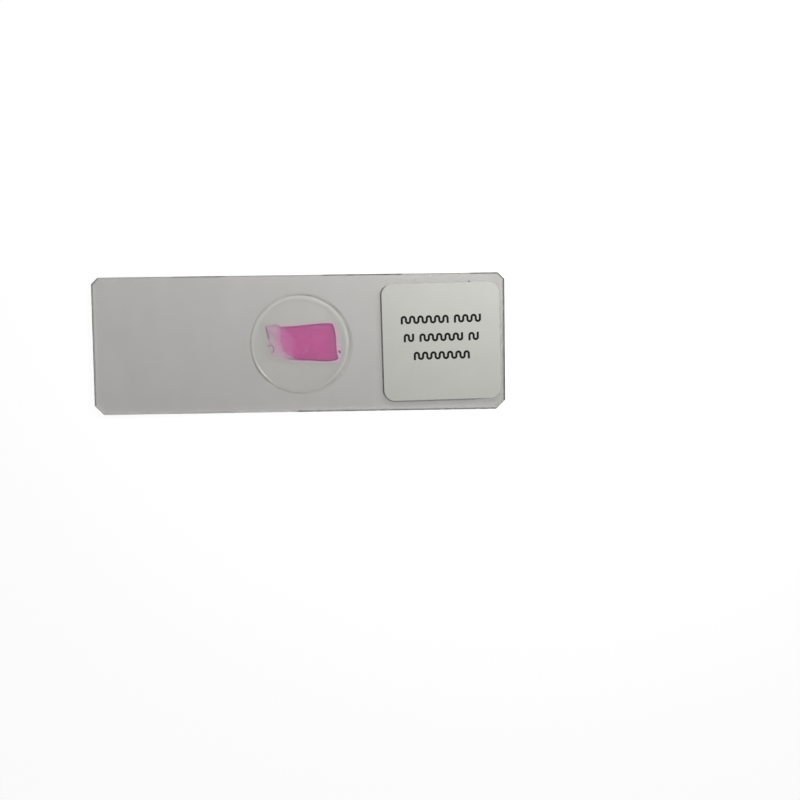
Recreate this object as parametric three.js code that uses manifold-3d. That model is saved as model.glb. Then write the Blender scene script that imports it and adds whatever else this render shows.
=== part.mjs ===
// A prepared microscope slide, lying flat with its cover glass and label on top.
// Millimetres, +Z up. The origin is the middle of the slide's underside, and +X runs
// along the slide to its labelled end.
import * as THREE from "three";
import { mergeVertices } from "three/addons/utils/BufferGeometryUtils.js";
import Module from "manifold-3d";

const wasm = await Module();
wasm.setup();

// Slide: a clear slip with ground edges, and its corners cut off at 45 degrees.
const slideLength = 75;
const slideWidth = 25;
const slideThickness = 1.1;
const slideFrontClip = 1.65;
const slideBackClip = 1.2;
const slideEdgeBevel = 0.25;

// Cover glass: a thin disc, set a little off the middle of the slide.
const coverDiameter = 18;
const coverThickness = 0.17;
const coverX = 0.14;
const coverY = 0.05;

// Tissue section: its length runs along the slide. The centre is measured from the
// cover glass's centre.
const sectionLength = 13.1;
const sectionWidth = 6.95;
const sectionThickness = 0.01;
const sectionX = 0.35;
const sectionY = 0.19;

// Crumb of tissue off the section's right-hand end.
const fleckLength = 0.55;
const fleckWidth = 0.34;
const fleckTurn = THREE.MathUtils.degToRad(-40);
const fleckGap = 0.23;
const fleckY = -1.61;

// Mounting medium: the resin fills the space round the tissue, and a bead of it
// stands out past the cover glass and up its edge.
const resinOverTissue = 0.03;
const resinBeadReach = 0.3;
const resinBeadClimb = 0.1;
const tissueClearance = 0.01;
const coverClearance = 0.01;

// Label: square paper with rounded corners, stuck on a little askew.
const labelLength = 21.4;
const labelThickness = 0.12;
const labelCornerRadius = 2;
const labelEndInset = 0.93;
const labelFrontInset = 1.92;
const labelBackInset = 1.8;
const labelTurn = THREE.MathUtils.degToRad(0.9);

// Print: generic wavy strokes in centred rows, each stroke as long as its number of
// turns makes it.
const markHeight = 1.52;
const markStroke = 0.4;
const markPitch = 0.76;
const markThickness = 0.01;
const markGap = 0.95;
const rowPitch = 3.3;
const middleRowY = 0.8;
const turnsInRows = [[11, 6], [2, 10, 2], [13]];

// Segments of the round stretches.
const cornerSegments = 8;
const discSegments = 96;
const beadSegments = 5;
const fleckSegments = 14;
const turnSegments = 5;

const coverRadius = coverDiameter / 2;
const resinThickness = sectionThickness + tissueClearance + resinOverTissue;
const labelWidth = slideWidth - labelFrontInset - labelBackInset;
const labelX = slideLength / 2 - labelEndInset - labelLength / 2;
const labelY = (labelFrontInset - labelBackInset) / 2;

// The cut outline of the section, in shares of its length and width from its lower
// left corner. The left end is torn and ends in a small open hook.
const sectionOutline = [
  [0, 0.92], [0.07, 0.957], [0.126, 0.98], [0.187, 0.914], [0.336, 0.914],
  [0.473, 0.935], [0.611, 0.964], [0.752, 0.993], [0.863, 1], [0.924, 0.98],
  [0.95, 0.79], [0.969, 0.633], [0.973, 0.424], [0.981, 0.237], [1, 0.065],
  [0.977, 0.03], [0.882, 0], [0.771, 0], [0.603, 0.03], [0.466, 0.043],
  [0.298, 0.062], [0.187, 0.115], [0.088, 0.13], [0.084, 0.237], [0.053, 0.237],
  [0.05, 0.273], [0.073, 0.302], [0.076, 0.381], [0.057, 0.41], [0.031, 0.388],
  [0.038, 0.453], [0.034, 0.532], [0.011, 0.712],
];

const glassMaterial = new THREE.MeshStandardMaterial({
  color: 0xadada8,
  roughness: 0.04,
  metalness: 0,
  transparent: true,
  opacity: 0.4,
});
const coverMaterial = new THREE.MeshStandardMaterial({
  color: 0xdcded8,
  roughness: 0.03,
  metalness: 0,
  transparent: true,
  opacity: 0.25,
});
const resinMaterial = new THREE.MeshStandardMaterial({
  color: 0xd8d6c6,
  roughness: 0.1,
  metalness: 0,
  transparent: true,
  opacity: 0.3,
});
const tissueMaterial = new THREE.MeshStandardMaterial({
  color: 0xb55f8e,
  roughness: 0.55,
  metalness: 0,
});
const labelMaterial = new THREE.MeshStandardMaterial({
  color: 0xc8c7c2,
  roughness: 0.85,
  metalness: 0,
});
const inkMaterial = new THREE.MeshStandardMaterial({
  color: 0x232326,
  roughness: 0.6,
  metalness: 0,
});

function namedMesh(name, geometry, material) {
  const mesh = new THREE.Mesh(geometry, material);
  mesh.name = name;
  return mesh;
}

// Points of a rectangle with round corners, centred on the origin.
function roundedRectangle(length, width, radius) {
  const points = [];
  const corners = [[1, 1], [-1, 1], [-1, -1], [1, -1]];
  corners.forEach(([signX, signY], quarter) => {
    for (let step = 0; step <= cornerSegments; step++) {
      const angle = (quarter + step / cornerSegments) * (Math.PI / 2);
      points.push(new THREE.Vector2(
        signX * (length / 2 - radius) + radius * Math.cos(angle),
        signY * (width / 2 - radius) + radius * Math.sin(angle),
      ));
    }
  });
  return points;
}

// A rectangle whose corners are cut off at 45 degrees, anticlockwise.
function clippedRectangle(length, width, frontClip, backClip) {
  const x = length / 2;
  const y = width / 2;
  const corners = [
    [x, y - backClip], [x - backClip, y], [backClip - x, y], [-x, y - backClip],
    [-x, frontClip - y], [frontClip - x, -y], [x - frontClip, -y], [x, frontClip - y],
  ];
  return corners.map(([along, across]) => new THREE.Vector2(along, across));
}

function ellipse(length, width, segments) {
  return Array.from({ length: segments }, (_, step) => {
    const angle = (2 * Math.PI * step) / segments;
    return new THREE.Vector2((length / 2) * Math.cos(angle), (width / 2) * Math.sin(angle));
  });
}

// Moves each corner of a clockwise outline out by the same distance from its edges.
function grownOutline(points, distance) {
  return points.map((point, index) => {
    const before = points[(index + points.length - 1) % points.length];
    const after = points[(index + 1) % points.length];
    const edgeIn = point.clone().sub(before).normalize();
    const edgeOut = after.clone().sub(point).normalize();
    const normalIn = new THREE.Vector2(-edgeIn.y, edgeIn.x);
    const normalOut = new THREE.Vector2(-edgeOut.y, edgeOut.x);
    const reach = distance / (1 + normalIn.dot(normalOut));
    return point.clone().addScaledVector(normalIn.add(normalOut), reach);
  });
}

// A plate on z = 0. A bevel takes both arrises off, inside the outline.
function plate(points, thickness, bevel = 0) {
  return new THREE.ExtrudeGeometry(new THREE.Shape(points), {
    depth: thickness - 2 * bevel,
    bevelEnabled: bevel > 0,
    bevelThickness: bevel,
    bevelSize: bevel,
    bevelOffset: -bevel,
    bevelSegments: 1,
  }).translate(0, 0, bevel);
}

// A turned body about +Z from a profile of [radius, height] pairs.
function turned(profile) {
  const points = profile.map(([radius, height]) => new THREE.Vector2(radius, height));
  return new THREE.LatheGeometry(points, discSegments).rotateX(Math.PI / 2);
}

function solidOf(geometry) {
  const bare = geometry.clone();
  bare.deleteAttribute("normal");
  bare.deleteAttribute("uv");
  const merged = mergeVertices(bare, 1e-4);
  return new wasm.Manifold(new wasm.Mesh({
    numProp: 3,
    vertProperties: merged.attributes.position.array,
    triVerts: new Uint32Array(merged.index.array),
  }));
}

function geometryOf(solid) {
  const mesh = solid.getMesh();
  const geometry = new THREE.BufferGeometry();
  geometry.setAttribute("position", new THREE.BufferAttribute(mesh.vertProperties, 3));
  geometry.setIndex(new THREE.BufferAttribute(mesh.triVerts, 1));
  geometry.computeVertexNormals();
  return geometry;
}

function makeSlide() {
  const outline = clippedRectangle(slideLength, slideWidth, slideFrontClip, slideBackClip);
  return namedMesh("slide_glass", plate(outline, slideThickness, slideEdgeBevel), glassMaterial);
}

function sectionPoints() {
  return sectionOutline.map(([along, across]) => new THREE.Vector2(
    sectionX + (along - 0.5) * sectionLength,
    sectionY + (across - 0.5) * sectionWidth,
  ));
}

function fleckPoints(clearance) {
  const centre = new THREE.Vector2(sectionX + sectionLength / 2 + fleckGap, fleckY);
  const grow = 2 * clearance;
  return ellipse(fleckLength + grow, fleckWidth + grow, fleckSegments).map((point) =>
    point.rotateAround(new THREE.Vector2(), fleckTurn).add(centre),
  );
}

// Outer face of the bead: a hollow curve from the slide up to the cover glass's edge.
function beadProfile() {
  const foot = new THREE.Vector2(coverRadius + resinBeadReach, 0);
  const top = new THREE.Vector2(coverRadius + coverClearance, resinThickness + resinBeadClimb);
  const bend = new THREE.Vector2((foot.x + 2 * top.x) / 3, top.y / 3);
  const curve = new THREE.QuadraticBezierCurve(foot, bend, top);
  return curve.getPoints(beadSegments).map((point) => [point.x, point.y]);
}

function makeMountingMedium() {
  const film = solidOf(turned([
    [0, 0],
    ...beadProfile(),
    [coverRadius + coverClearance, resinThickness],
    [0, resinThickness],
  ]));
  const pocketDepth = sectionThickness + tissueClearance;
  const hollows = [grownOutline(sectionPoints(), tissueClearance), fleckPoints(tissueClearance)];
  const cut = hollows.reduce((solid, points) => {
    const cutter = plate(points, 2 * pocketDepth).translate(0, 0, -pocketDepth);
    return solid.subtract(solidOf(cutter));
  }, film);
  return namedMesh("mounting_medium", geometryOf(cut), resinMaterial);
}

function makeCoverGlass() {
  const disc = turned([
    [0, 0],
    [coverRadius, 0],
    [coverRadius, coverThickness],
    [0, coverThickness],
  ]);
  const mesh = namedMesh("cover_glass", disc, coverMaterial);
  mesh.position.z = resinThickness;
  return mesh;
}

// The tissue in its resin under the cover glass, built up from the slide's top face.
function makeMountedTissue() {
  const mounted = new THREE.Group();
  mounted.position.set(coverX, coverY, slideThickness);
  mounted.add(
    namedMesh("tissue_section", plate(sectionPoints(), sectionThickness), tissueMaterial),
    namedMesh("tissue_fleck", plate(fleckPoints(0), sectionThickness), tissueMaterial),
    makeMountingMedium(),
    makeCoverGlass(),
  );
  return mounted;
}

// One edge of a wavy stroke: upright strokes a pitch apart, joined by half turns that
// go over and under by turns. Side is 1 for the edge that is outside on top.
function strokeEdge(turns, side) {
  const outerRadius = (markPitch + markStroke) / 2;
  const firstX = (-turns * markPitch) / 2;
  const points = [new THREE.Vector2(firstX - (side * markStroke) / 2, -markHeight / 2)];
  for (let turn = 0; turn < turns; turn++) {
    const up = turn % 2 === 0 ? 1 : -1;
    const radius = (markPitch + side * up * markStroke) / 2;
    for (let step = 0; step <= turnSegments; step++) {
      const angle = (Math.PI * step) / turnSegments;
      points.push(new THREE.Vector2(
        firstX + (turn + 0.5) * markPitch - radius * Math.cos(angle),
        up * (markHeight / 2 - outerRadius + radius * Math.sin(angle)),
      ));
    }
  }
  const endsUp = turns % 2 === 0 ? 1 : -1;
  points.push(new THREE.Vector2(
    firstX + turns * markPitch - (endsUp * side * markStroke) / 2,
    (endsUp * markHeight) / 2,
  ));
  return points;
}

function makePrintMark(number, turns, x, y) {
  const outline = [...strokeEdge(turns, 1), ...strokeEdge(turns, -1).reverse()];
  const mark = namedMesh("print_mark_" + number, plate(outline, markThickness), inkMaterial);
  mark.position.set(x, y, labelThickness);
  return mark;
}

function makePrint() {
  const marks = [];
  turnsInRows.forEach((turnsInRow, row) => {
    const lengths = turnsInRow.map((turns) => turns * markPitch + markStroke);
    const total = lengths.reduce((sum, length) => sum + length, markGap * (lengths.length - 1));
    const y = middleRowY + ((turnsInRows.length - 1) / 2 - row) * rowPitch;
    let left = -total / 2;
    turnsInRow.forEach((turns, index) => {
      marks.push(makePrintMark(marks.length + 1, turns, left + lengths[index] / 2, y));
      left += lengths[index] + markGap;
    });
  });
  return marks;
}

function makeLabel() {
  const stuck = new THREE.Group();
  stuck.position.set(labelX, labelY, slideThickness);
  stuck.rotation.z = labelTurn;
  const outline = roundedRectangle(labelLength, labelWidth, labelCornerRadius);
  stuck.add(namedMesh("label", plate(outline, labelThickness), labelMaterial), ...makePrint());
  return stuck;
}

const microscopeSlide = new THREE.Group();
microscopeSlide.add(makeSlide(), makeMountedTissue(), makeLabel());

export default microscopeSlide;
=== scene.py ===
import math

import bpy
from mathutils import Matrix, Vector, noise
from mathutils.geometry import delaunay_2d_cdt


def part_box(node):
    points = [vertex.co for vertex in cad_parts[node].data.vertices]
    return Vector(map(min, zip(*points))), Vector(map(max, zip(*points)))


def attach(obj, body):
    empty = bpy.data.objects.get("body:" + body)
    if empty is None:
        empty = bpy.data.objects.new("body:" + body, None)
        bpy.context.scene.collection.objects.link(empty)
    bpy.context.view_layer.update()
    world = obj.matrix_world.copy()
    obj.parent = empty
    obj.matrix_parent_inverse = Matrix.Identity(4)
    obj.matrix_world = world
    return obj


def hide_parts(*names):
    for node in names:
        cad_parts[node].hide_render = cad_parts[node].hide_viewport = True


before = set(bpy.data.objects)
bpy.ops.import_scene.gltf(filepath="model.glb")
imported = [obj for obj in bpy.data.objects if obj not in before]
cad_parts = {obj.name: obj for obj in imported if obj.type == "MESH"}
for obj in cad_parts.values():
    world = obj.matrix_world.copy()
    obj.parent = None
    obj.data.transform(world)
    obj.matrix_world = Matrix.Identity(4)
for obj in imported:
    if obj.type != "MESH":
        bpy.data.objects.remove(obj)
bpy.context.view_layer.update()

mm = 0.001
scene = bpy.context.scene
scene.view_settings.view_transform = "Standard"


def screenColour(red, green, blue):  # 0 to 255, as a screen shows it
    def linear(value):
        share = value / 255
        return share / 12.92 if share <= 0.04045 else ((share + 0.055) / 1.055) ** 2.4
    return (linear(red), linear(green), linear(blue), 1.0)


def smoothStep(low, high, value):
    share = min(max((value - low) / (high - low), 0.0), 1.0)
    return share * share * (3 - 2 * share)


def softArcs(arcs, degrees):  # the strongest of some soft arcs round a ring
    strongest = 0.0
    for middle, halfWidth, strength in arcs:
        away = abs((degrees - middle + 180) % 360 - 180) / halfWidth
        strongest = max(strongest, strength * math.exp(-away * away))
    return strongest


def midOf(node):
    low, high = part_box(node)
    return (low + high) / 2


def addNode(tree, kind, inputs=None, **settings):
    node = tree.nodes.new(kind)
    for key, value in settings.items():
        setattr(node, key, value)
    for key, value in (inputs or {}).items():
        if isinstance(value, bpy.types.NodeSocket):
            tree.links.new(value, node.inputs[key])
        else:
            node.inputs[key].default_value = value
    return node


def addStep(tree, kind, inputs=None, **settings):  # a node of which only the first output is used
    return addNode(tree, kind, inputs, **settings).outputs[0]


def addMaths(tree, operation, first, second=0.0):
    return addStep(tree, "ShaderNodeMath", {0: first, 1: second}, operation=operation)


def addProduct(tree, first, second):
    return addMaths(tree, "MULTIPLY", first, second)


def addRange(tree, value, fromLow, fromHigh, toLow, toHigh):
    return addNode(tree, "ShaderNodeMapRange", {
        "Value": value, "From Min": fromLow, "From Max": fromHigh, "To Min": toLow, "To Max": toHigh,
    }).outputs["Result"]


def makeMaterial(name, addSurface, *values):  # addSurface builds the nodes and gives back the last
    material = bpy.data.materials.new(name)
    material.use_nodes = True
    tree = material.node_tree
    tree.nodes.clear()
    addNode(tree, "ShaderNodeOutputMaterial", {"Surface": addSurface(tree, *values)})
    return material


camera = {
    "place": Vector((10.30, 15.53, 275.02)) * mm,
    "lookAt": Vector((18.16, -10.58, 1.1)) * mm,
    "turnDegrees": 0.77,         # off the slide's long edges
    "lens": 67.62,
    "sensor": 36,
    "clip": (5 * mm, 20),
}


def makeCamera():
    data = bpy.data.cameras.new("camera")
    data.lens = camera["lens"]
    data.sensor_width = camera["sensor"]
    data.clip_start, data.clip_end = camera["clip"]
    seen = (camera["lookAt"] - camera["place"]).normalized()
    turn = math.radians(camera["turnDegrees"])
    right = seen.cross(Vector((math.sin(turn), math.cos(turn), 0))).normalized()
    placed = Matrix((right, right.cross(seen), -seen)).transposed().to_4x4()
    placed.translation = camera["place"]
    item = bpy.data.objects.new("camera", data)
    item.matrix_world = placed
    scene.collection.objects.link(item)
    scene.camera = item


makeCamera()
print("camera placed")


def addSeenRays(tree, path):  # 1 for what is seen straight, in gloss or through glass
    seen = addMaths(tree, "MAXIMUM", path.outputs["Is Camera Ray"], path.outputs["Is Glossy Ray"])
    return addMaths(tree, "MAXIMUM", seen, path.outputs["Is Transmission Ray"])


studio = {
    "domeLight": 0.4,                            # even light from all round
    "gloss": 0.8,                                # the surroundings as gloss and glass show them
    "sheen": 1.52,                               # extra brightness of the soft patch overhead
    "sheenTowards": Vector((0.12, 0.10, 1)),
    "sheenSharpness": 60.0,
    "keyPlace": Vector((44, 46, 68)) * mm,
    "keySize": 44 * mm,
    "keyPower": 0.046,
    "floorSide": 6.0,
    "floorDrop": 0.02 * mm,                      # below the slide's underside
    "floorGlow": 0.72,
    "floorFall": 0.10,                           # the floor seen through the slide is darker in front
    "floorFallReach": 14 * mm,
    "floorColour": (0.56, 0.56, 0.56, 1),
}


def makeWorld():
    world = bpy.data.worlds.new("studio")
    world.use_nodes = True
    tree = world.node_tree
    tree.nodes.clear()
    path = addNode(tree, "ShaderNodeLightPath")
    # a soft bright patch overhead, which only gloss picks up
    lean = addNode(tree, "ShaderNodeVectorMath", {
        0: addStep(tree, "ShaderNodeTexCoord"), 1: studio["sheenTowards"].normalized(),
    }, operation="DOT_PRODUCT").outputs["Value"]
    fall = addProduct(tree, addMaths(tree, "SUBTRACT", lean, 1.0), studio["sheenSharpness"])
    sheen = addProduct(tree, addMaths(tree, "EXPONENT", fall), studio["sheen"])
    inGloss = addMaths(tree, "ADD", studio["gloss"], sheen)
    bright = addRange(tree, path.outputs["Is Glossy Ray"], 0, 1, 1, inGloss)
    white = (1, 1, 1, 1)
    both = addStep(tree, "ShaderNodeMixShader", {
        0: addSeenRays(tree, path),
        1: addStep(tree, "ShaderNodeBackground", {"Color": white, "Strength": studio["domeLight"]}),
        2: addStep(tree, "ShaderNodeBackground", {"Color": white, "Strength": bright})})
    addNode(tree, "ShaderNodeOutputWorld", {"Surface": both})
    scene.world = world


def makeKeyLamp():
    data = bpy.data.lights.new("key", "AREA")
    data.shape = "DISK"
    data.size = studio["keySize"]
    data.energy = studio["keyPower"]
    item = bpy.data.objects.new("key", data)
    item.location = studio["keyPlace"]
    item.visible_camera = False
    item.visible_glossy = False
    scene.collection.objects.link(item)


def addFloorPaper(tree):
    path = addNode(tree, "ShaderNodeLightPath")
    place = addNode(tree, "ShaderNodeTexCoord").outputs["Object"]
    across = addNode(tree, "ShaderNodeSeparateXYZ", {0: place}).outputs["Y"]
    reach, fall = studio["floorFallReach"], studio["floorFall"]
    slope = addRange(tree, across, -reach, reach, 1 - fall, 1 + fall)
    throughGlass = addRange(tree, path.outputs["Is Transmission Ray"], 0, 1, 1, slope)
    glow = addProduct(tree, addSeenRays(tree, path), throughGlass)
    glow = addProduct(tree, glow, studio["floorGlow"])
    return addStep(tree, "ShaderNodeAddShader", {
        0: addStep(tree, "ShaderNodeBsdfDiffuse", {"Color": studio["floorColour"]}),
        1: addStep(tree, "ShaderNodeEmission", {"Strength": glow})})


def makeFloor():
    half = studio["floorSide"] / 2
    corners = [(-half, -half), (half, -half), (half, half), (-half, half)]
    mesh = bpy.data.meshes.new("floor")
    mesh.from_pydata([(x, y, -studio["floorDrop"]) for x, y in corners], [], [(0, 1, 2, 3)])
    mesh.materials.append(makeMaterial("floor", addFloorPaper))
    floor = bpy.data.objects.new("floor", mesh)
    scene.collection.objects.link(floor)


makeWorld()
makeKeyLamp()
makeFloor()
print("light and floor set")


def addNoise(tree, size, detail=4.0, roughness=0.55, stretch=(1, 1, 1)):
    # size is the width of one blotch
    place = addNode(tree, "ShaderNodeTexCoord").outputs["Object"]
    return addStep(tree, "ShaderNodeTexNoise", {
        "Vector": addStep(tree, "ShaderNodeMapping", {"Vector": place, "Scale": stretch}),
        "Scale": 1 / size, "Detail": detail, "Roughness": roughness})


def addMix(tree, share, first, second):  # two colours
    return addNode(tree, "ShaderNodeMix", {0: share, 6: first, 7: second}, data_type="RGBA").outputs[2]


def addAttribute(tree, name):
    return addNode(tree, "ShaderNodeAttribute", attribute_name=name).outputs["Fac"]


def addBump(tree, height, strength, depth):
    return addNode(tree, "ShaderNodeBump", {
        "Height": height, "Strength": strength, "Distance": depth}).outputs["Normal"]


def addGlass(tree, tint, index, roughness, normal=None):
    inputs = {"Base Color": tint, "Transmission Weight": 1.0, "IOR": index, "Roughness": roughness}
    if normal:
        inputs["Normal"] = normal
    return addStep(tree, "ShaderNodeBsdfPrincipled", inputs)


def finishGlass(tree, glass, tint):
    # lamps shine through the glass, tinted by it, onto what lies beneath
    path = addNode(tree, "ShaderNodeLightPath")
    halfway = tuple(math.sqrt(share) for share in tint[:3]) + (1.0,)
    return addStep(tree, "ShaderNodeMixShader", {
        0: path.outputs["Is Shadow Ray"], 1: glass,
        2: addStep(tree, "ShaderNodeBsdfTransparent", {"Color": halfway})})


def finishSolid(tree, inputs):
    return addStep(tree, "ShaderNodeBsdfPrincipled", inputs)


glassFinish = {
    "tint": (0.405, 0.401, 0.391, 1),        # what is left of light that goes right through
    "edgeHighlightTint": (0.54, 0.53, 0.515, 1),      # painted highlight: a brighter line just inside the ground edge
    "hazeTint": (0.391, 0.387, 0.376, 1),
    # the ground edge's tint, and the near black of the painted shade along it
    "groundTint": (0.62, 0.62, 0.60, 1),
    "groundPaintedShade": (0.012, 0.012, 0.012, 1),
    "index": 1.52,
    "polish": (0.004, 0.02),                 # roughness, from wiped clean to smeared
    "ground": (0.3, 0.45),                   # roughness of the ground edge
    "hazeSize": 7 * mm,
    "wipeSize": 0.9 * mm,
    "groundGrain": 0.05 * mm,
    "groundShadeRun": 1.1 * mm,                   # the painted shade on the ground line changes over this length
}


def addSlideGlass(tree):
    haze = addNoise(tree, glassFinish["hazeSize"], detail=5, stretch=(1.6, 0.7, 1))
    wipe = addNoise(tree, glassFinish["wipeSize"], detail=3, stretch=(1, 0.25, 1))
    tint = addMix(tree, addRange(tree, haze, 0.35, 0.7, 0, 1), glassFinish["tint"], glassFinish["hazeTint"])
    # painted highlight: a lighter tint just inside the front edge and the plain end
    tint = addMix(tree, addAttribute(tree, "paintedEdgeHighlight"), tint, glassFinish["edgeHighlightTint"])
    roughness = addRange(tree, wipe, 0.35, 0.7, *glassFinish["polish"])
    return finishGlass(tree, addGlass(tree, tint, glassFinish["index"], roughness), glassFinish["tint"])


def addGroundEdge(tree):
    grain = addNoise(tree, glassFinish["groundGrain"], detail=3)
    run = addRange(tree, addNoise(tree, glassFinish["groundShadeRun"], detail=3), 0.3, 0.55, 0.8, 1.05)
    depth = addProduct(tree, addAttribute(tree, "ground"), run)
    # painted shade: the ground edge's tint runs to near black where the ground attribute says
    tint = addMix(tree, depth, glassFinish["groundTint"], glassFinish["groundPaintedShade"])
    roughness = addRange(tree, grain, 0.3, 0.7, *glassFinish["ground"])
    pitted = addBump(tree, grain, 0.15, 0.01 * mm)
    glass = addGlass(tree, tint, glassFinish["index"], roughness, pitted)
    return finishGlass(tree, glass, glassFinish["groundTint"])


coverFinish = {
    "tint": (0.965, 0.965, 0.955, 1),
    "cutEdge": (0.64, 0.65, 0.63, 1),
    "index": 1.52,
    "wetIndex": 1.03,                        # where resin wets it, the glass doesn't mirror
    "polish": (0.0, 0.01),                   # roughness of the faces and of the cut edge
    "cut": (0.1, 0.3),
    "smearSize": 1.5 * mm,
    "chatterSize": 0.12 * mm,
}


def addCoverFace(tree, index):
    smear = addNoise(tree, coverFinish["smearSize"], detail=3)
    roughness = addRange(tree, smear, 0.4, 0.7, *coverFinish["polish"])
    return finishGlass(tree, addGlass(tree, coverFinish["tint"], index, roughness), coverFinish["tint"])


def addCutEdge(tree):
    chatter = addNoise(tree, coverFinish["chatterSize"], detail=2)
    roughness = addRange(tree, chatter, 0.3, 0.7, *coverFinish["cut"])
    glass = addGlass(tree, coverFinish["cutEdge"], coverFinish["index"], roughness)
    return finishGlass(tree, glass, coverFinish["cutEdge"])


resinFinish = {
    "film": (1.0, 0.998, 0.985, 1),
    "filmIndex": 1.01,                       # next to the glass it hardly bends light
    "filmPolish": (0.0, 0.01),
    "filmFlow": 2.5 * mm,
    "bead": (0.985, 0.98, 0.96, 1),
    # painted shade, darker in arcs round the rim
    "beadPaintedShade": (0.30, 0.30, 0.29, 1),
    "beadIndex": 1.09,
    "beadRoughness": 0.08,
    "beadFlow": 0.5 * mm,
    "rimHighlight": screenColour(243, 244, 239),   # painted highlight along the cover glass's rim, and below it the painted shade
    "shade": screenColour(84, 84, 80),
    "rimMottle": 0.25 * mm,
}


def addResinFilm(tree):
    flow = addNoise(tree, resinFinish["filmFlow"], detail=2)
    roughness = addRange(tree, flow, 0.4, 0.7, *resinFinish["filmPolish"])
    film = addGlass(tree, resinFinish["film"], resinFinish["filmIndex"], roughness)
    return finishGlass(tree, film, resinFinish["film"])


def addResinBead(tree):
    flow = addNoise(tree, resinFinish["beadFlow"], detail=2)
    # painted shade round the rim, by the depth attribute
    tint = addMix(tree, addAttribute(tree, "depth"), resinFinish["bead"], resinFinish["beadPaintedShade"])
    rippled = addBump(tree, flow, 0.1, 0.02 * mm)
    bead = addGlass(tree, tint, resinFinish["beadIndex"], resinFinish["beadRoughness"], rippled)
    return finishGlass(tree, bead, resinFinish["bead"])


def addPaintedRimLight(tree):  # painted highlight and painted shade in lines under the cover glass's edge
    rimMottle = addRange(tree, addNoise(tree, resinFinish["rimMottle"], detail=3), 0.3, 0.7, 0.8, 1.15)
    return finishSolid(tree, {
        "Base Color": addMix(tree, addAttribute(tree, "shade"), resinFinish["rimHighlight"], resinFinish["shade"]),
        "Roughness": 0.5, "Alpha": addProduct(tree, addAttribute(tree, "cover"), rimMottle)})


labelFinish = {
    "paper": screenColour(210, 210, 204),
    "paperShade": screenColour(202, 202, 196),
    "paperRoughness": (0.72, 0.86),
    "cloudSize": 5 * mm,
    "fibreSize": 0.16 * mm,
    "ink": screenColour(16, 16, 18),
    "inkWorn": screenColour(36, 36, 39),
    "inkSpeck": 0.08 * mm,
    # painted shadow: dark adhesive colours for the label's shadow beside it
    "adhesiveShadow": screenColour(84, 82, 79),
    "adhesiveShadowPale": screenColour(120, 118, 113),
    "shadowMottleSize": 0.3 * mm,
}


def addPaper(tree):
    cloud = addRange(tree, addNoise(tree, labelFinish["cloudSize"], detail=3), 0.3, 0.7, 0, 0.5)
    fibre = addNoise(tree, labelFinish["fibreSize"], detail=5, roughness=0.7, stretch=(1, 2.2, 1))
    tone = addMix(tree, cloud, labelFinish["paper"], labelFinish["paperShade"])
    tone = addMix(tree, addRange(tree, fibre, 0.35, 0.75, 0, 0.35), tone, labelFinish["paperShade"])
    return finishSolid(tree, {
        "Base Color": tone, "Roughness": addRange(tree, fibre, 0.3, 0.7, *labelFinish["paperRoughness"]),
        "Specular IOR Level": 0.25, "Normal": addBump(tree, fibre, 0.2, 0.015 * mm)})


def addInk(tree):
    worn = addRange(tree, addNoise(tree, labelFinish["inkSpeck"], detail=4, roughness=0.7), 0.45, 0.75, 0, 1)
    return finishSolid(tree, {
        "Base Color": addMix(tree, worn, labelFinish["ink"], labelFinish["inkWorn"]),
        "Roughness": 0.6, "Specular IOR Level": 0.2})


def addAdhesiveShadow(tree):
    # the label's painted shadow, mottled
    oozeMottle = addRange(tree, addNoise(tree, labelFinish["shadowMottleSize"], detail=4), 0.35, 0.7, 0, 1)
    return finishSolid(tree, {
        "Base Color": addMix(tree, oozeMottle, labelFinish["adhesiveShadow"], labelFinish["adhesiveShadowPale"]),
        "Roughness": 0.5, "Specular IOR Level": 0.2, "Alpha": addAttribute(tree, "cover")})


stain = {
    "body": screenColour(199, 80, 154),
    "bodyDeep": screenColour(179, 68, 139),
    "left": screenColour(203, 100, 168),
    "pale": screenColour(210, 117, 182),
    "rim": screenColour(104, 74, 98),
    "halo": screenColour(255, 138, 228),
    "cellSize": 0.14 * mm,
    "bandSize": 1.3 * mm,
    "mottleSize": 0.55 * mm,
}


def addStainedTissue(tree):
    cells = addNoise(tree, stain["cellSize"], detail=5, roughness=0.65)
    bands = addNoise(tree, stain["bandSize"], detail=3, stretch=(0.5, 1.5, 1))
    mottle = addNoise(tree, stain["mottleSize"], detail=2)
    tone = addMix(tree, addRange(tree, bands, 0.42, 0.7, 0, 0.7), stain["body"], stain["bodyDeep"])
    tone = addMix(tree, addRange(tree, mottle, 0.42, 0.62, 0, 0.5), tone, stain["bodyDeep"])
    for name in ("left", "pale", "halo", "rim"):
        tone = addMix(tree, addAttribute(tree, name), tone, stain[name])
    tone = addMix(tree, addRange(tree, cells, 0.5, 0.8, 0, 0.3), tone, stain["bodyDeep"])
    gaps = addRange(tree, cells, 0.3, 0.7, 1.0, 0.92)
    return finishSolid(tree, {
        "Base Color": tone, "Roughness": 0.6, "Specular IOR Level": 0.1,
        "Alpha": addProduct(tree, addAttribute(tree, "cover"), gaps),
        "Normal": addBump(tree, cells, 0.1, 0.004 * mm)})


dustFinish = {
    "dark": screenColour(62, 60, 57),
    "light": screenColour(92, 90, 85),
    "grainSize": 0.05 * mm,
}


def addDust(tree):
    grain = addNoise(tree, dustFinish["grainSize"], detail=2)
    return finishSolid(tree, {
        "Base Color": addMix(tree, grain, dustFinish["dark"], dustFinish["light"]), "Roughness": 0.9})


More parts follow.
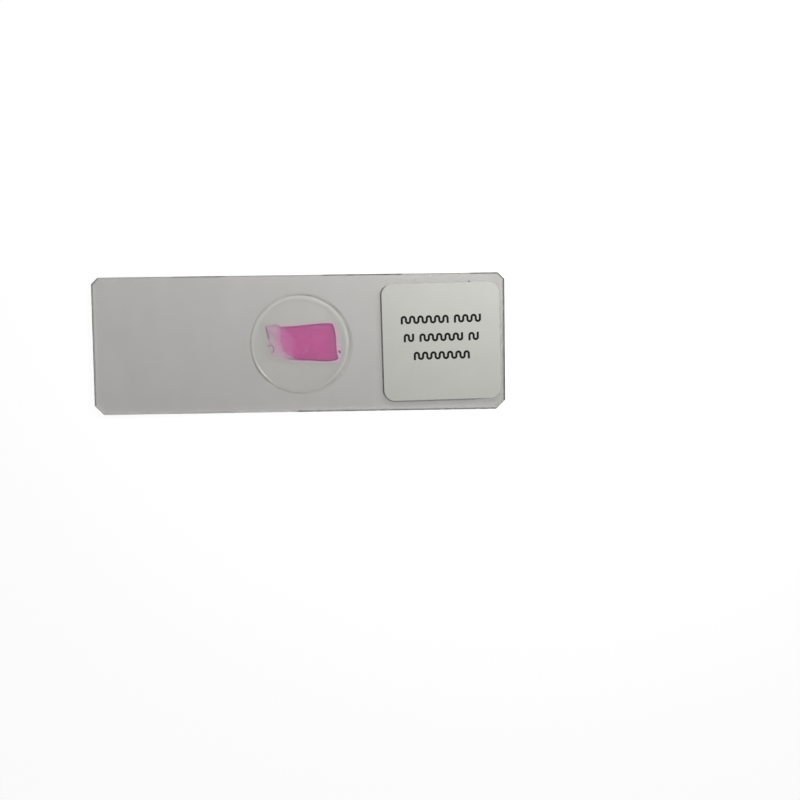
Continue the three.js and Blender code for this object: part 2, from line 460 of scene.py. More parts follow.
slideGlass = makeMaterial("slide_glass", addSlideGlass)
groundEdge = makeMaterial("ground_edge", addGroundEdge)
coverFace = makeMaterial("cover_glass_face", addCoverFace, coverFinish["index"])
coverUnderside = makeMaterial("cover_glass_underside", addCoverFace, coverFinish["wetIndex"])
cutEdge = makeMaterial("cover_glass_edge", addCutEdge)
resinFilm = makeMaterial("resin_film", addResinFilm)
resinBead = makeMaterial("resin_bead", addResinBead)
paintedRimLight = makeMaterial("painted_rim_light_and_shade", addPaintedRimLight)
labelPaper = makeMaterial("label_paper", addPaper)
labelInk = makeMaterial("label_ink", addInk)
labelAdhesiveShadow = makeMaterial("label_adhesive_shadow", addAdhesiveShadow)
stainedTissue = makeMaterial("stained_tissue", addStainedTissue)
greyDust = makeMaterial("dust", addDust)
print("finishes mixed")


def newPiece(name, vertices, faces, materials, body="root"):
    mesh = bpy.data.meshes.new(name)
    mesh.from_pydata([tuple(spot) for spot in vertices], [], faces)
    for material in materials:
        mesh.materials.append(material)
    mesh.update()
    return placePiece(name, mesh, body)


def placePiece(name, mesh, body="root"):
    piece = bpy.data.objects.new(name, mesh)
    scene.collection.objects.link(piece)
    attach(piece, body)
    return piece


def storeValues(mesh, name, values):  # one number for each point, for the finish to read
    layer = mesh.attributes.new(name, "FLOAT", "POINT")
    layer.data.foreach_set("value", values)


def pairsRound(items):  # each with the next one, and the last with the first
    return list(zip(items, items[1:] + items[:1]))


def roundCircle(steps):  # points on a circle of radius 1
    turn = 2 * math.pi / steps
    return [Vector((math.cos(turn * step), math.sin(turn * step))) for step in range(steps)]


def atHeight(origin, spots, height):  # the spots are measured from the origin
    return [(origin.x + spot.x, origin.y + spot.y, height) for spot in spots]


def eachCorner(corners):
    # each corner, the ways back and ahead along its sides, and half the angle between them
    for index, corner in enumerate(corners):
        back = (corners[index - 1] - corner).normalized()
        ahead = (corners[(index + 1) % len(corners)] - corner).normalized()
        yield corner, back, ahead, back.angle(ahead) / 2


def insetCorners(corners, depth):
    return [corner + (back + ahead).normalized() * depth / math.sin(half)
            for corner, back, ahead, half in eachCorner(corners)]


def sideSteps(corners, longest):
    return [max(1, round((following - corner).length / longest))
            for corner, following in pairsRound(corners)]


def roundedOutline(corners, radius, cornerSteps, steps):
    # anticlockwise, each corner an arc, and each side cut into its number of steps
    arcs = []
    for corner, back, ahead, half in eachCorner(corners):
        middle = corner + (back + ahead).normalized() * radius / math.sin(half)
        start = math.atan2(back.x, -back.y)
        turns = [start + (math.pi - 2 * half) * step / cornerSteps for step in range(cornerSteps + 1)]
        arcs.append([middle + radius * Vector((math.cos(turn), math.sin(turn))) for turn in turns])
    points = []
    for (arc, following), count in zip(pairsRound(arcs), steps):
        points += arc + [arc[-1].lerp(following[0], step / count) for step in range(1, count)]
    return points


def outwardNormals(points):
    normals = []
    for index in range(len(points)):
        along = points[(index + 1) % len(points)] - points[index - 1]
        normals.append(Vector((along.y, -along.x)).normalized())
    return normals


def bandFaces(lower, upper, count):  # joins two rings of points, given the first point of each
    return [(lower + start, lower + end, upper + end, upper + start)
            for start, end in pairsRound(list(range(count)))]


def stackRings(name, rings, bandMaterials, materials, capMaterials=(0, 0)):
    # rings of equal length from the bottom up, closed by a flat cap at each end
    count = len(rings[0])
    vertices = [spot for ring in rings for spot in ring]
    faces = [tuple(reversed(range(count)))]
    slots = [capMaterials[0]]
    for band, slot in enumerate(bandMaterials):
        faces += bandFaces(band * count, (band + 1) * count, count)
        slots += [slot] * count
    faces.append(tuple(range(len(vertices) - count, len(vertices))))
    slots.append(capMaterials[1])
    piece = newPiece(name, vertices, faces, materials)
    piece.data.polygons.foreach_set("material_index", slots)
    piece.data.update()
    return piece


def loopRings(name, rings, material):  # each ring is joined to the next, and the last to the first
    count = len(rings[0])
    faces = []
    for lower, upper in pairsRound(list(range(len(rings)))):
        faces += bandFaces(lower * count, upper * count, count)
    return newPiece(name, [spot for ring in rings for spot in ring], faces, [material])


slide = {
    "frontClip": 1.65 * mm,      # the corners are cut off at 45 degrees
    "backClip": 1.2 * mm,
    "cornerRadius": 0.3 * mm,
    "leastRadius": 0.06 * mm,    # of a corner on the lines further in
    "cornerSteps": 5,
    "bevel": 0.25 * mm,
    "labelEndBevel": 0.12 * mm,  # how much wider the bevel is there
    "bevelWander": 0.05 * mm,    # the ground line isn't ruler straight
    "wanderLength": 1.8 * mm,
    "edgeStep": 0.4 * mm,
    # how dark the painted shade on the ground line is: from and to along the edge in mm, and depth
    "backGround": 0.5,
    "frontGround": 0.0,
    "backRuns": [(-23, -13, 0.90), (4, 19, 1.0), (31, 38, 0.97)],
    "frontRuns": [(-24, -12, 0.3), (-1, 38, 0.95)],
    "runFade": 0.6,
    "backClipGround": 0.97,
    "frontClipGround": 0.388,
    "labelEnd": 0.86,
    "plainEnd": 0.9,
    "wallGround": 0.3,           # painted shade on the upright part between the two bevels
    # how far inside the edge the painted highlight runs in mm, and how bright at each place
    "highlightInsets": [(0.36, 1.0), (0.5, 0.8), (0.8, 0.25), (1.2, 0.0), (1.45, 0.0)],
    "frontHighlight": 0.9,            # how strong it is along the front edge and the plain end
    "plainEndHighlight": 0.8,
    "labelHighlight": 0.16,           # in front of the label the painted highlight is wider
    "labelHighlightFrom": (8 * mm, 18 * mm),
    # small chips out of the arris: place along it in mm, front or back, width and depth
    "chips": [(-0.2, -1, 0.35 * mm, 0.16 * mm), (-9.5, 1, 0.25 * mm, 0.08 * mm)],
}


def groundShadeDepth(spot, normal):  # how dark the painted shade on the ground line is at a place on the edge
    side = "back" if normal.y > 0 else "front"
    if abs(normal.x) > 0.9:
        return slide["labelEnd"] if normal.x > 0 else slide["plainEnd"]
    if abs(normal.x) > 0.3:
        return slide[side + "ClipGround"]
    depth = slide[side + "Ground"]
    along, fade = spot.x / mm, slide["runFade"]
    for start, end, strength in slide[side + "Runs"]:
        inRun = smoothStep(start - fade, start + fade, along) * smoothStep(end + fade, end - fade, along)
        depth = max(depth, strength * inRun)
    return depth


def chipDepth(spot, normal):
    deepest = 0.0
    for place, side, width, depth in slide["chips"]:
        if normal.y * side > 0.7:
            away = (spot.x - place * mm) / width
            deepest = max(deepest, depth * math.exp(-away * away))
    return deepest


def slabCorners(size, endInset=0.0):  # anticlockwise; the label end may lie further in
    x, y = size.x / 2, size.y / 2
    front, back = slide["frontClip"], slide["backClip"]
    end = x - endInset
    return [Vector(place) for place in (
        (end, y - back + endInset), (x - back, y), (back - x, y), (-x, y - back),
        (-x, front - y), (front - x, -y), (x - front, -y), (end, front - y - endInset))]


def makeSlideSlab():
    low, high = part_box("slide_glass")
    middle = midOf("slide_glass")
    size = high - low
    bevel = slide["bevel"]
    corners = slabCorners(size)
    steps = sideSteps(corners, slide["edgeStep"])
    outline = roundedOutline(corners, slide["cornerRadius"], slide["cornerSteps"], steps)
    normals = outwardNormals(outline)

    def ring(height, inset, seed, chipped):
        radius = max(slide["cornerRadius"] - inset, slide["leastRadius"])
        endInset = slide["labelEndBevel"] * min(1.0, inset / bevel)
        inner = insetCorners(slabCorners(size, endInset), inset)
        spots = []
        for spot, moved, normal in zip(
                outline, roundedOutline(inner, radius, slide["cornerSteps"], steps), normals):
            wander = noise.noise(Vector((spot.x, spot.y, seed * size.x)) / slide["wanderLength"])
            depth = (slide["bevelWander"] * wander if inset else 0) + chipped * chipDepth(spot, normal)
            spots.append(moved - normal * depth)
        return atHeight(middle, spots, low.z + height)

    # the edge from the bottom up: height, inset, seed of its wander, share of the chips,
    # and share of the ground line's painted shade, or None on the wall
    top, wall = size.z, bevel * 1.06
    edge = [
        (0, bevel, 1, 0, 0.8), (bevel, 0, 2, 0, 1.0), (wall, 0, 2, 0, None), (top - wall, 0, 3, 0, None),
        (top - bevel, 0, 3, 0, 1.0), (top - bevel / 2, bevel / 2, 4, 0.6, 1.0), (top, bevel, 4, 1.0, 0.55)]
    face = [(top, inset * mm, 4, 0, 0.0) for inset, _ in slide["highlightInsets"]]
    rings = [ring(*place) for *place, _ in edge + face]
    bands = [1] * (len(edge) - 1) + [0] * len(face)
    piece = stackRings("slide_slab", rings, bands, [slideGlass, groundEdge])
    ground = [groundShadeDepth(spot, normal) for spot, normal in zip(outline, normals)]
    storeValues(piece.data, "ground", [
        slide["wallGround"] if share is None else depth * share
        for *_, share in edge + face for depth in ground])
    # painted highlight inside the front edge and the plain end, stronger where the ground line's painted
    # shade is deeper
    glow = [0.0] * len(outline) * len(edge)
    for inset, strength in slide["highlightInsets"]:
        wider = slide["labelHighlight"] if 0.5 < inset < 1.4 else 0.0
        for depth, normal, spot in zip(ground, normals, outline):
            lean = max(0.0, -normal.y * slide["frontHighlight"] - normal.x * slide["plainEndHighlight"])
            besideLabel = smoothStep(*slide["labelHighlightFrom"], spot.x)
            glow.append(strength * lean * (0.75 + 0.25 * depth) + wider * lean * besideLabel)
    storeValues(piece.data, "paintedEdgeHighlight", glow)
    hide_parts("slide_glass")


makeSlideSlab()
print("slide made")


cover = {
    "gap": 0.001 * mm,           # to the resin below
    "arris": 0.015 * mm,
    "steps": 240,
}


def circleRing(middle, reach, height, steps):
    return atHeight(middle, [spot * reach for spot in roundCircle(steps)], height)


def coverRadius():
    low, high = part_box("cover_glass")
    return (high.x - low.x) / 2


def makeCoverGlass():
    low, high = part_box("cover_glass")
    radius = coverRadius()
    arris = cover["arris"]
    bottom = low.z + cover["gap"]
    rings = [circleRing(midOf("cover_glass"), radius - inset, height, cover["steps"]) for inset, height in (
        (arris, bottom), (0, bottom + arris), (0, high.z - arris), (arris, high.z))]
    piece = stackRings("cover_disc", rings, [1, 1, 1], [coverFace, cutEdge, coverUnderside], (2, 0))
    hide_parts("cover_glass")


makeCoverGlass()
print("cover glass made")


def startTree(name, sizes):  # a modifier tree with one named input for each size
    tree = bpy.data.node_groups.new(name, "GeometryNodeTree")
    tree.interface.new_socket("Geometry", in_out="INPUT", socket_type="NodeSocketGeometry")
    for size, kind in sizes.items():
        tree.interface.new_socket(size, in_out="INPUT", socket_type="NodeSocket" + kind)
    tree.interface.new_socket("Geometry", in_out="OUTPUT", socket_type="NodeSocketGeometry")
    return tree, addNode(tree, "NodeGroupInput").outputs


def endTree(tree, geometry, material):
    whole = addStep(tree, "GeometryNodeRealizeInstances", {"Geometry": geometry})
    coloured = addStep(tree, "GeometryNodeSetMaterial", {"Geometry": whole, "Material": material})
    addNode(tree, "NodeGroupOutput", {0: coloured})


def loosePoints(name, vertices, edges=()):
    mesh = bpy.data.meshes.new(name)
    mesh.from_pydata([tuple(spot) for spot in vertices], list(edges), [])
    return mesh


def growMesh(name, tree, values, startMesh):
    # runs a tree on some loose points and gives back the plain mesh
    item = bpy.data.objects.new(name + "_start", startMesh)
    scene.collection.objects.link(item)
    modifier = item.modifiers.new(name, "NODES")
    modifier.node_group = tree
    for socket in tree.interface.items_tree:
        if socket.in_out == "INPUT" and socket.name in values:
            modifier[socket.identifier] = values[socket.name]
    scene.view_layers[0].update()
    shown = item.evaluated_get(bpy.context.evaluated_depsgraph_get())
    mesh = bpy.data.meshes.new_from_object(shown)
    bpy.data.objects.remove(item)
    mesh.name = name
    return mesh


resin = {
    "filmGap": 0.002 * mm,
    "filmInset": 0.05 * mm,      # the film's rim, in from the cover glass's
    "steps": 360,
    "beadWidth": 0.24 * mm,
    "beadHeight": 0.12 * mm,
    "beadUnder": 0.04 * mm,      # how far the bead reaches under the cover glass
    "swell": 1.3,                # how much wider the bead is where it ran out
    "swellTowards": math.radians(-20),
    "unevenness": 0.25,
    "seed": 7.0,
    "clearFrom": 9.6 * mm,       # from the middle, where its painted shade has faded out
    # painted shade in soft arcs round the rim: middle and half width in degrees, and strength
    "beadShadeArcs": [
        (12, 27, 0.36), (43, 12, 0.44), (72, 20, 0.14), (95, 18, 0.08), (150, 30, 0.08),
        (182, 18, 0.22), (211, 18, 0.66), (250, 26, 0.20), (325, 30, 0.06)],
}


def makeBeadTree():
    tree, wanted = startTree("resinBeadTree", {
        "Radius": "Float", "Width": "Float", "Height": "Float", "Swell": "Float", "Swell Towards": "Float",
        "Unevenness": "Float", "Steps": "Int", "Seed": "Float"})
    circle = addStep(tree, "GeometryNodeCurvePrimitiveCircle", {
        "Resolution": wanted["Steps"], "Radius": wanted["Radius"]})
    place = addStep(tree, "GeometryNodeInputPosition")
    outward = addStep(tree, "ShaderNodeVectorMath", {0: place}, operation="NORMALIZE")
    swellSide = addStep(tree, "ShaderNodeCombineXYZ", {
        0: addMaths(tree, "COSINE", wanted["Swell Towards"]),
        1: addMaths(tree, "SINE", wanted["Swell Towards"])})
    facing = addNode(tree, "ShaderNodeVectorMath", {0: outward, 1: swellSide}, operation="DOT_PRODUCT")
    swelling = addMaths(tree, "POWER", addRange(tree, facing.outputs["Value"], 0.0, 1.0, 0.0, 1.0), 1.5)
    swelling = addProduct(tree, swelling, wanted["Swell"])
    wave = addStep(tree, "ShaderNodeTexNoise", {
        "Vector": place, "W": wanted["Seed"], "Scale": 300.0, "Detail": 2.0}, noise_dimensions="4D")
    uneven = addProduct(tree, addMaths(tree, "SUBTRACT", wave, 0.5), wanted["Unevenness"])
    uneven = addProduct(tree, uneven, 2.0)
    breadth = addMaths(tree, "ADD", addMaths(tree, "ADD", 1.0, swelling), uneven)
    # the bead grows outwards only, from its inner rim
    extra = addProduct(tree, addMaths(tree, "SUBTRACT", breadth, 1.0), wanted["Width"])
    push = addStep(tree, "ShaderNodeVectorMath", {
        0: outward, "Scale": addProduct(tree, extra, 0.5)}, operation="SCALE")
    path = addStep(tree, "GeometryNodeSetPosition", {"Geometry": circle, "Offset": push})
    section = addStep(tree, "GeometryNodeCurvePrimitiveCircle", {"Resolution": 12, "Radius": 0.5})
    parts = addNode(tree, "ShaderNodeSeparateXYZ", {0: addStep(tree, "GeometryNodeInputPosition")}).outputs
    shaped = addStep(tree, "ShaderNodeCombineXYZ", {
        0: addProduct(tree, parts[0], wanted["Width"]),
        1: addProduct(tree, parts[1], wanted["Height"])})
    profile = addStep(tree, "GeometryNodeSetPosition", {"Geometry": section, "Position": shaped})
    endTree(tree, addStep(tree, "GeometryNodeCurveToMesh", {
        "Curve": path, "Profile Curve": profile, "Scale": breadth}), resinBead)
    return tree


def degreesRound(middle, spot):
    return math.degrees(math.atan2(spot[1] - middle.y, spot[0] - middle.x))


def makeResinBeadRing():
    low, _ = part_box("mounting_medium")
    middle = midOf("cover_glass")
    radius = coverRadius()
    height = resin["beadHeight"]
    mesh = growMesh("resin_bead", makeBeadTree(), {
        "Radius": radius + resin["beadWidth"] / 2 - resin["beadUnder"], "Width": resin["beadWidth"],
        "Height": height, "Swell": resin["swell"], "Swell Towards": resin["swellTowards"],
        "Unevenness": resin["unevenness"], "Steps": resin["steps"], "Seed": resin["seed"],
    }, loosePoints("bead_start", [(0, 0, 0)]))
    highest = max(spot.co.z for spot in mesh.vertices)
    squash = Matrix.Diagonal((1, 1, height / (2 * highest), 1))   # the wide stretches aren't taller
    place = Matrix.Translation((middle.x, middle.y, low.z + height / 2 + resin["filmGap"]))
    mesh.transform(place @ squash)
    # painted shade in arcs round the rim, fading out past the cover glass
    storeValues(mesh, "depth", [
        softArcs(resin["beadShadeArcs"], degreesRound(middle, spot.co))
        * smoothStep(resin["clearFrom"], radius, (spot.co.xy - middle.xy).length) for spot in mesh.vertices])
    piece = placePiece("resin_bead", mesh)


def makeFilm():
    low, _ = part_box("mounting_medium")
    coverLow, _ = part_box("cover_glass")
    reach = coverRadius() - resin["filmInset"]
    heights = (low.z + resin["filmGap"], coverLow.z - resin["filmGap"])
    rings = [circleRing(midOf("cover_glass"), reach, height, resin["steps"]) for height in heights]
    piece = stackRings("resin_film", rings, [0], [resinFilm])
    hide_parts("mounting_medium")


# painted highlight and painted shade in thin lines under the cover glass's rim
rimLightLines = {
    "inside": 7.6 * mm,          # the sheet that carries the lines, from the middle
    "outside": 8.94 * mm,
    "below": (0.014 * mm, 0.008 * mm),   # its two faces, below the cover glass
    "rings": 22,
    "steps": 300,
    "unevenness": 0.25,
    "unevenLength": 0.8 * mm,
    "mostCover": 0.95,
    # each painted line of highlight or shade: distance from the middle, width inwards and outwards in mm,
    # how much it covers, how dark it is (1 for painted shade), and the arcs where it shows
    "lines": [
        (8.58, 0.16, 0.13, 0.55, 0, [
            (4, 26, 0.28), (32, 16, 0.25), (125, 18, 0.28), (150, 20, 0.32), (180, 18, 0.26),
            (326, 28, 0.28)]),
        (8.51, 0.14, 0.13, 0.55, 0, [(72, 34, 0.21)]),
        (8.67, 0.12, 0.10, 0.95, 0, [(217, 13, 1.3)]),
        (8.45, 0.55, 0.16, 0.11, 0, [(75, 50, 0.8), (140, 40, 0.75)]),
        (8.88, 0.09, 0.08, 0.85, 1, [(72, 32, 1.0), (45, 12, 0.65), (24, 18, 0.20), (247, 14, 0.20)]),
        (8.90, 0.05, 0.05, 0.90, 1, [(210, 14, 0.25), (226, 11, 0.9)]),
    ],
}


def coverEachFace(seen):  # the light meets both faces of a thin sheet, so each covers less
    return 1 - math.sqrt(1 - seen)


def rimLightAt(spot, reach, angle):  # how much the painted lines cover there, and how much of that is painted shade
    light = dark = 0.0
    for place, inwards, outwards, strength, shade, arcs in rimLightLines["lines"]:
        away = reach / mm - place
        away /= inwards if away < 0 else outwards
        seen = strength * softArcs(arcs, angle) * math.exp(-away * away)
        light += seen * (1 - shade)
        dark += seen * shade
    uneven = 1 + rimLightLines["unevenness"] * noise.noise(Vector(spot) / rimLightLines["unevenLength"])
    seen = min((light + dark) * uneven, rimLightLines["mostCover"])
    return coverEachFace(seen), dark / max(light + dark, 1e-6)


def makeRimLightLines():
    # a thin closed ring inside the film, clear except along the painted lines of highlight and shade
    coverLow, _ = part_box("cover_glass")
    middle = midOf("cover_glass")
    inside, outside = rimLightLines["inside"], rimLightLines["outside"]
    last = rimLightLines["rings"] - 1
    reaches = [inside + (outside - inside) * math.sqrt(ring / last) for ring in range(last + 1)]
    lower, upper = (coverLow.z - below for below in rimLightLines["below"])
    places = [(reach, lower) for reach in reaches] + [(reach, upper) for reach in reversed(reaches)]
    rings = []
    values = []
    for reach, height in places:
        rings.append(circleRing(middle, reach, height, rimLightLines["steps"]))
        for spot in rings[-1]:
            seen, shade = rimLightAt(spot, reach, degreesRound(middle, spot))
            values.append((0.0 if reach in (reaches[0], reaches[-1]) else seen, shade))
    piece = loopRings("painted_rim_lines", rings, paintedRimLight)
    storeValues(piece.data, "cover", [seen for seen, _ in values])
    storeValues(piece.data, "shade", [shade for _, shade in values])


makeResinBeadRing()
makeFilm()
makeRimLightLines()
print("resin poured")


tissue = {
    "grid": 0.085 * mm,
    "edgeStep": 0.12 * mm,
    "thickness": 0.010 * mm,
    "lift": 0.006 * mm,          # above the slide
    "foldRise": 0.012 * mm,
    "bleed": 0.8 * mm,           # how far the sheet reaches past the cut edge, for loose stain
    "bleedSteps": 160,
    "tear": 0.05 * mm,
    "tearLength": 0.35 * mm,
    "drift": 0.010,              # how unevenly the dense part begins
    "driftLength": 0.9 * mm,
    "tornLengths": (0.5 * mm, 0.24 * mm),
    "leastCover": 0.02,
    "paleCover": 0.25,
    "denseCover": 0.93,
    "mostCover": 0.985,
    # the faint fringe of loose stain: its reach, what the right end and the lower edge add
    # to that, and how much it covers at the torn end and what the dense part adds
    "fringeReach": 0.24 * mm,
    "fringeRight": 0.24 * mm,
    "fringeLow": 0.12 * mm,
    "fringeCover": 0.05,
    "fringeDense": 0.20,
    "fringeFalloff": 1.4,
    # the cut outline, in shares of the section's length and width, anticlockwise
    "outline": [
        (-0.006, 0.80), (0.006, 0.66), (0.020, 0.55), (0.008, 0.46), (0.008, 0.39), (0.045, 0.35),
        (0.060, 0.28), (0.052, 0.22), (0.085, 0.145), (0.187, 0.112), (0.298, 0.058), (0.466, 0.031),
        (0.603, 0.022), (0.771, -0.006), (0.882, -0.008), (0.977, 0.024), (1.0, 0.06), (0.982, 0.237),
        (0.976, 0.424), (0.974, 0.633), (0.962, 0.79), (0.938, 0.95), (0.922, 0.984), (0.863, 0.998),
        (0.752, 0.990), (0.611, 0.970), (0.473, 0.945), (0.336, 0.926), (0.205, 0.932), (0.165, 0.985),
        (0.126, 0.995), (0.095, 0.965), (-0.004, 0.94), (-0.014, 0.89),
    ],
    # how the dense part thins out towards the torn end, from the top edge to the bottom one
    "thinFrom": (0.115, 0.215),
    "thinTo": (0.250, 0.465),
    "violetTo": 0.385,
    # folds and edges where the tissue doubles over: line, half width in mm, depth
    "folds": [
        ([(0.18, 0.91), (0.24, 0.895), (0.336, 0.902), (0.473, 0.924), (0.611, 0.950)], 0.17, 0.68),
        ([(0.611, 0.950), (0.752, 0.970), (0.863, 0.977), (0.92, 0.967)], 0.19, 0.85),
        ([(0.920, 0.965), (0.937, 0.84), (0.951, 0.72), (0.957, 0.62)], 0.22, 0.80),
        ([(0.957, 0.66), (0.963, 0.424), (0.966, 0.237), (0.982, 0.07)], 0.16, 0.66),
        ([(0.988, 0.08), (0.985, 0.045), (0.96, 0.02)], 0.24, 0.9),
        ([(0.97, 0.030), (0.882, 0.014), (0.771, 0.017), (0.66, 0.034)], 0.16, 0.95),
        ([(0.66, 0.034), (0.603, 0.044), (0.466, 0.056), (0.33, 0.070), (0.29, 0.080)], 0.15, 0.80),
        ([(0.003, 0.90), (0.013, 0.81), (0.026, 0.72), (0.034, 0.63)], 0.23, 0.86),
        ([(0.034, 0.63), (0.040, 0.56)], 0.17, 0.4),
        ([(0.0, 0.925), (0.05, 0.94), (0.085, 0.945), (0.12, 0.94)], 0.15, 0.54),
        ([(0.100, 0.955), (0.137, 0.985), (0.165, 0.97), (0.185, 0.94)], 0.12, 0.62),
        ([(0.040, 0.79), (0.075, 0.75), (0.115, 0.69), (0.13, 0.62), (0.128, 0.56)], 0.22, 0.42),
        ([(0.052, 0.49), (0.075, 0.475)], 0.18, 0.5),
        ([(0.028, 0.415), (0.048, 0.43), (0.078, 0.43), (0.098, 0.39), (0.102, 0.32)], 0.15, 0.86),
        ([(0.102, 0.32), (0.095, 0.275), (0.072, 0.245)], 0.15, 0.84),
        ([(0.09, 0.13), (0.19, 0.10), (0.3, 0.066)], 0.14, 0.2),
    ],
    # lighter or denser patches: place, radius in mm, change of cover
    "patches": [
        (0.14, 0.85, 0.35, -0.06), (0.075, 0.64, 0.28, 0.12), (0.16, 0.62, 0.30, 0.10),
        (0.05, 0.86, 0.25, 0.08), (0.01, 0.52, 0.30, -0.12), (0.04, 0.34, 0.35, -0.16),
        (0.03, 0.44, 0.40, -0.10), (0.09, 0.52, 0.35, -0.08), (0.09, 0.92, 0.30, -0.08),
        (0.17, 0.34, 0.40, 0.14), (0.11, 0.20, 0.30, 0.04), (0.18, 0.08, 0.45, -0.16),
        (0.06, 0.14, 0.30, -0.10), (0.20, 0.24, 0.22, -0.08), (0.07, 0.56, 0.20, 0.04),
        (0.20, 0.69, 0.22, 0.24), (0.24, 0.29, 0.25, 0.26), (0.06, 0.39, 0.18, -0.12),
        (0.23, 0.05, 0.30, -0.08),
    ],
    # lighter streaks in the dense part: line, half width in mm, strength
    "streaks": [
        ([(0.66, 0.915), (0.72, 0.895), (0.79, 0.875)], 0.14, 0.40),
        ([(0.546, 0.302), (0.562, 0.302)], 0.26, 0.50),
        ([(0.853, 0.89), (0.862, 0.86)], 0.17, 0.42),
        ([(0.46, 0.64), (0.53, 0.655)], 0.25, 0.20),
        ([(0.66, 0.65), (0.73, 0.63)], 0.25, 0.14),
        ([(0.32, 0.12), (0.38, 0.07)], 0.25, 0.25),
    ],
}


def segmentDistance(spot, start, end):
    along = end - start
    share = min(max((spot - start).dot(along) / along.length_squared, 0.0), 1.0)
    return (spot - start - along * share).length


def lineDistance(spot, line):
    return min(segmentDistance(spot, start, end) for start, end in zip(line, line[1:]))


def insideOutline(spot, line):
    inside = False
    for start, end in zip(line, line[1:]):
        if (start.y > spot.y) != (end.y > spot.y):
            crossing = start.x + (spot.y - start.y) * (end.x - start.x) / (end.y - start.y)
            inside = inside != (spot.x < crossing)
    return inside


def fineOutline(size):  # the cut edge in small steps, with a slight tear to it
    corners = [Vector((x * size.x, y * size.y)) for x, y in tissue["outline"]]
    points = []
    for (spot, following), steps in zip(pairsRound(corners), sideSteps(corners, tissue["edgeStep"])):
        for step in range(steps):
            place = spot.lerp(following, step / steps)
            rough = tissue["tear"] * (0.3 + smoothStep(0.25, 0.1, place.x / size.x))
            shake = noise.noise(Vector((place.x, place.y, 0)) / tissue["tearLength"]) * rough
            points.append(place + (Vector((size.x, size.y)) / 2 - place).normalized() * shake)
    return points


def bleedOutline(outline, size):  # a loop clear of the cut edge, to which the stain fades
    middle = Vector((size.x, size.y)) / 2
    loop = []
    for ray in roundCircle(tissue["bleedSteps"]):
        reach = max((spot - middle).dot(ray) for spot in outline
                    if (spot - middle).normalized().dot(ray) > 0.995)
        loop.append(middle + ray * (reach + tissue["bleed"]))
    return loop


def tissuePoints(cut, size):  # the sheet's points and triangles, fine enough for the stain
    margin, spacing = tissue["bleed"], tissue["grid"]
    outer = bleedOutline(cut, size)
    closedOuter = outer + outer[:1]
    grid = []
    for across in range(int((size.y + 2 * margin) / spacing)):
        for along in range(int((size.x + 2 * margin) / spacing)):
            spot = Vector((along * spacing - margin, across * spacing - margin))
            if insideOutline(spot, closedOuter):
                grid.append(spot)
    ends = len(outer)
    loops = pairsRound(list(range(ends))) + pairsRound(list(range(ends, ends + len(cut))))
    points, _, triangles, *_ = delaunay_2d_cdt(outer + cut + grid, loops, [tuple(range(ends))], 1, 1e-9)
    return points, triangles


def sheetFaces(points, triangles):  # each triangle above and below, then the rim between them
    base = len(points)
    faces = []
    rims = {}
    for corners in triangles:
        first, second, third = (points[index] for index in corners[:3])
        upwards = (second - first).cross(third - first) > 0
        loop = tuple(corners) if upwards else tuple(reversed(corners))
        faces += [loop, tuple(base + index for index in reversed(loop))]
        for start, end in pairsRound(loop):
            if (end, start) in rims:
                del rims[(end, start)]
            else:
                rims[(start, end)] = True
    return faces + [(start, base + start, base + end, end) for start, end in rims]


def tissueLines(kind, size):  # the lines in metres, each with its half width and depth
    return [([Vector((x * size.x, y * size.y)) for x, y in line], width * mm, depth)
            for line, width, depth in tissue[kind]]


def strongestLine(spot, lines):
    strongest = 0.0
    for line, width, depth in lines:
        share = lineDistance(spot, line) / width
        strongest = max(strongest, depth * math.exp(-share * share))
    return strongest


def nearness(spot, size, x, y, radius):
    return math.exp(-((spot - Vector((x * size.x, y * size.y))).length / (radius * mm)) ** 2)


def fringeSeen(x, y, away):  # how much the loose stain covers outside the cut edge
    if away > 0.93 * tissue["bleed"]:
        return 0.0
    lowerEdge = smoothStep(0.35, 0.6, x) * smoothStep(0.5, 0.2, y)
    reach = tissue["fringeReach"] + tissue["fringeLow"] * lowerEdge
    reach += tissue["fringeRight"] * smoothStep(0.9, 1.0, x)
    start = 0.12 + 0.12 * smoothStep(0.5, 0.3, y)
    most = tissue["fringeCover"] + tissue["fringeDense"] * smoothStep(start, start + 0.12, x)
    return most * math.exp(-(away / reach) ** tissue["fringeFalloff"])


def denseShare(x, y, drift):  # 0 in the torn part, rising to 1 in the dense one
    upper, lower = tissue["thinFrom"]
    start = upper + (lower - upper) * smoothStep(0.55, 0.02, y) + drift
    upper, lower = tissue["thinTo"]
    end = upper + (lower - upper) * smoothStep(0.6, 0.0, y) ** 2.4 + drift
    return min(1.0, max(0.0, (x - start) / (end - start)))


def violetShare(x, y, drift):
    end = tissue["violetTo"] - 0.09 * smoothStep(0.6, 0.85, y) + drift   # sooner near the top edge
    return 1 - smoothStep(end - 0.05, end + 0.03, x)


def tornSeen(spot, size, y, away):  # how much the torn part covers
    coarse, fine = tissue["tornLengths"]
    torn = noise.noise(Vector((spot.x, spot.y, 3 * mm)) / coarse)
    torn += 0.5 * noise.noise(Vector((spot.x, spot.y, 5 * mm)) / fine)
    seen = tissue["paleCover"] + 0.10 * smoothStep(0.35, 0.75, y) + 0.20 * torn
    for patchX, patchY, radius, change in tissue["patches"]:
        seen += change * nearness(spot, size, patchX, patchY, radius)
    seen *= 0.25 + 0.75 * smoothStep(0.0, 0.14 * mm, away)   # thinner at the cut edge
    return max(seen, tissue["leastCover"])


